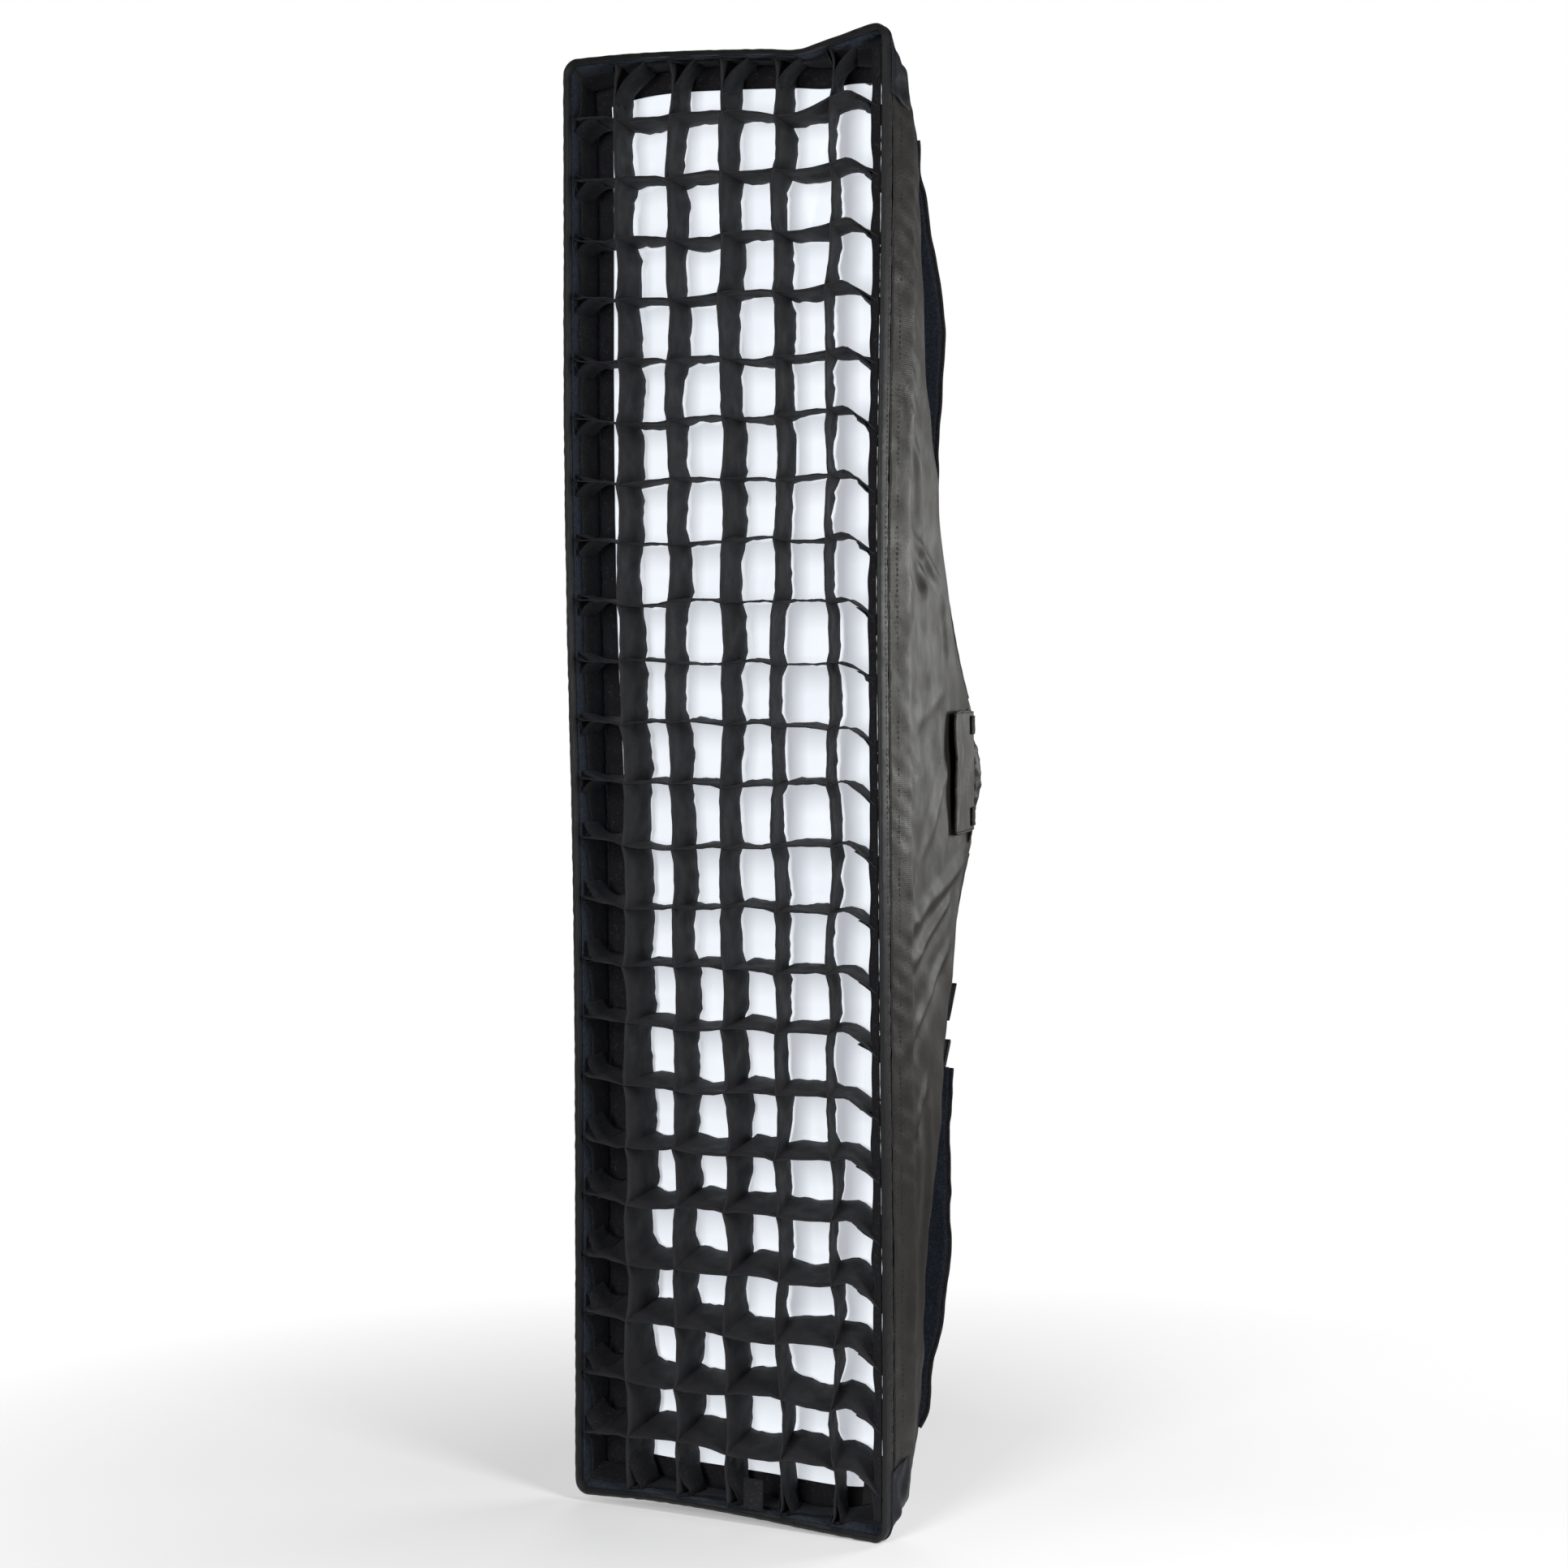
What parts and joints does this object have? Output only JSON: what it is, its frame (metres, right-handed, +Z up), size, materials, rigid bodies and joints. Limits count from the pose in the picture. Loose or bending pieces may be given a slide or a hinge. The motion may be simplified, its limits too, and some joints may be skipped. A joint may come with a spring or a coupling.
{
  "type": "strip softbox",
  "caption": "Tall narrow studio softbox with a rotating speedring, rods, black nylon skin, silver lining, white diffuser, inner baffle and fabric egg-crate grid.",
  "frame": {"origin": "centre of the light's opening, in the plane of the speedring insert's rear face", "axes": "+X to the right seen from the front, +Y backwards out of the speedring towards the light, +Z up along the long axis; the diffuser and grid face -Y"},
  "size_m": [0.3076, 0.322, 1.2028],
  "materials": {
    "ring_alloy": "satin machined",
    "ring_black": "satin powder coat",
    "socket_metal": "satin",
    "screw_steel": "satin",
    "black_plastic": "matte",
    "soft_rubber": "matte",
    "rod_steel": "polished spring steel",
    "nylon": "woven, slight sheen",
    "loop_tape": "fuzzy loop pile",
    "silver_lining": "crinkled silver coating",
    "white_cloth": "translucent white",
    "grid_fabric": "matte woven",
    "mesh_fabric": "open mesh",
    "hook_tape": "hook pile",
    "black_fabric": "matte woven"
  },
  "bodies": {
    "light_insert": {"ring_insert": "ring_alloy"},
    "box": {"ring_body": "ring_black", "ring_retainer": "ring_alloy", "retainer_screws": "screw_steel", "rod_socket_upper_right": "socket_metal", "rod_socket_upper_left": "socket_metal", "rod_socket_lower_right": "socket_metal", "rod_socket_lower_left": "socket_metal", "socket_screws": "screw_steel", "rod_upper_right": "rod_steel", "rod_upper_left": "rod_steel", "rod_lower_right": "rod_steel", "rod_lower_left": "rod_steel", "rod_tip_caps": "soft_rubber", "corner_pocket_upper_right": "black_fabric", "corner_pocket_upper_left": "black_fabric", "corner_pocket_lower_right": "black_fabric", "corner_pocket_lower_left": "black_fabric", "corner_patches": "black_fabric", "side_panel_right": "nylon", "side_panel_left": "nylon", "end_panel_top": "nylon", "end_panel_bottom": "nylon", "lining_right": "silver_lining", "lining_left": "silver_lining", "lining_top": "silver_lining", "lining_bottom": "silver_lining", "lip_wall_right": "black_fabric", "lip_wall_left": "black_fabric", "lip_wall_top": "black_fabric", "lip_wall_bottom": "black_fabric", "front_binding": "black_fabric", "lip_tape_front": "loop_tape", "lip_tape_rear": "loop_tape", "neck_collar": "black_fabric", "seam_welts": "black_fabric", "closure_flaps": "black_fabric", "closure_tapes": "loop_tape", "closure_straps": "black_fabric", "strap_buckles": "black_plastic", "access_meshes": "mesh_fabric", "lining_pads": "loop_tape"},
    "brake": {"brake_shoe": "soft_rubber"},
    "lock": {"lock_knob": "black_plastic"},
    "grid": {"grid_long_strips": "grid_fabric", "grid_cross_strips": "grid_fabric", "grid_border": "grid_fabric", "grid_tab": "grid_fabric"},
    "front_diffuser": {"diffuser": "white_cloth", "diffuser_hem": "black_fabric", "diffuser_tab": "black_fabric"},
    "inner_baffle": {"baffle": "white_cloth", "baffle_hem": "black_fabric", "baffle_tabs": "hook_tape"},
    "flap_right": {"access_flap_right": "nylon", "flap_hook_tapes_right": "hook_tape"},
    "flap_left": {"access_flap_left": "nylon", "flap_hook_tapes_left": "hook_tape"}
  },
  "joints": [
    {"name": "box_turn", "type": "hinge", "parent": "light_insert", "child": "box", "pos_m": [0, 0, 0], "axis": [0, 1, 0], "continuous": true},
    {"name": "brake_slide", "type": "slide", "parent": "box", "child": "brake", "axis": [0, 0, -1], "range_m": [0, 0.00125]},
    {"name": "lock_turn", "type": "hinge", "parent": "box", "child": "lock", "pos_m": [0, -0.012, -0.09], "axis": [0, 0, 1], "range_deg": [0, 360]},
    {"name": "grid_off", "type": "slide", "parent": "box", "child": "grid", "axis": [0, -1, 0], "range_m": [0, 0.36]},
    {"name": "diffuser_off", "type": "slide", "parent": "box", "child": "front_diffuser", "axis": [0, -1, 0], "range_m": [0, 0.25]},
    {"name": "baffle_off", "type": "slide", "parent": "box", "child": "inner_baffle", "axis": [0, -1, 0], "range_m": [0, 0.23]},
    {"name": "flap_right_lift", "type": "hinge", "parent": "box", "child": "flap_right", "pos_m": [0.07717, -0.02617, 0.005], "axis": [0, 0, 1], "range_deg": [0, 120]},
    {"name": "flap_left_lift", "type": "hinge", "parent": "box", "child": "flap_left", "pos_m": [-0.07717, -0.02617, 0.005], "axis": [0, 0, -1], "range_deg": [0, 120]}
  ],
  "couplings": [
    {"joint": "lock_turn", "follows": "brake_slide", "rad_per_m": 5026.5},
    {"joint": "diffuser_off", "follows": "grid_off", "ratio": 0.65},
    {"joint": "baffle_off", "follows": "grid_off", "ratio": 0.6}
  ]
}
